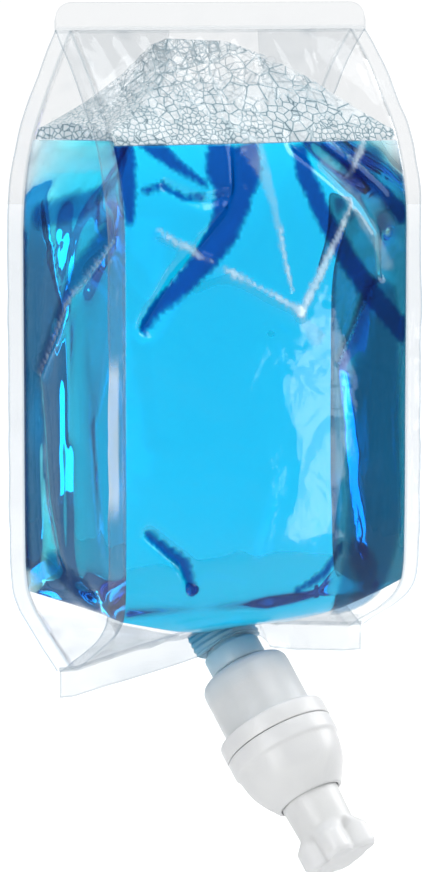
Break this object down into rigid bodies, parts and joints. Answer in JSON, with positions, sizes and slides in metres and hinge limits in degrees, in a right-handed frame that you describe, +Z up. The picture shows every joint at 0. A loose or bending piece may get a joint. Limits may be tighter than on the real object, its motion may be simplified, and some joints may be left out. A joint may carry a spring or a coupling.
{
  "type": "hand soap refill pack",
  "caption": "Clear film pouch of blue foam soap that hangs upright, with an inverted foam pump in its bottom seal and a pull-off cap on the nozzle.",
  "frame": {"origin": "middle of the front face of the top seal, where a clip holds the pack", "axes": "+Z up, -Y out of the pouch's front panel, +X to the right as seen from the front"},
  "size_m": [0.113, 0.1105, 0.2799],
  "materials": {
    "clear_film": "clear, glossy, wrinkled film",
    "blue_soap": "clear blue liquid",
    "froth": "bubbles",
    "natural_plastic": "translucent, satin",
    "white_plastic": "moulded, satin",
    "soft_seal": "soft moulded",
    "screen_plastic": "fine mesh",
    "spring_steel": "drawn wire"
  },
  "bodies": {
    "pack": {"film_pouch": "clear_film", "liquid_soap": "blue_soap", "soap_froth": "froth", "spout_fitment": "natural_plastic", "pump_body": "natural_plastic", "collar_ring": "white_plastic", "dome_cover": "white_plastic", "neck_gasket": "soft_seal", "inlet_valve": "soft_seal", "return_spring": "spring_steel"},
    "plunger": {"liquid_piston": "white_plastic", "air_piston": "white_plastic", "air_valve": "soft_seal", "outlet_valve": "soft_seal", "coarse_screen": "screen_plastic", "mixing_tube": "natural_plastic", "fine_screen": "screen_plastic", "nozzle_stem": "white_plastic"},
    "cap": {"shipping_cap": "white_plastic"}
  },
  "joints": [
    {"name": "nozzle_push", "type": "slide", "parent": "pack", "child": "plunger", "axis": [-0.1753, 0.6115, 0.7716], "range_m": [0, 0.01], "stiffness_N_per_m": 250, "springref_m": -0.016, "deforming": ["return_spring"]},
    {"name": "cap_pull", "type": "slide", "parent": "plunger", "child": "cap", "axis": [0.1753, -0.6115, -0.7716], "range_m": [0, 0.022]}
  ]
}
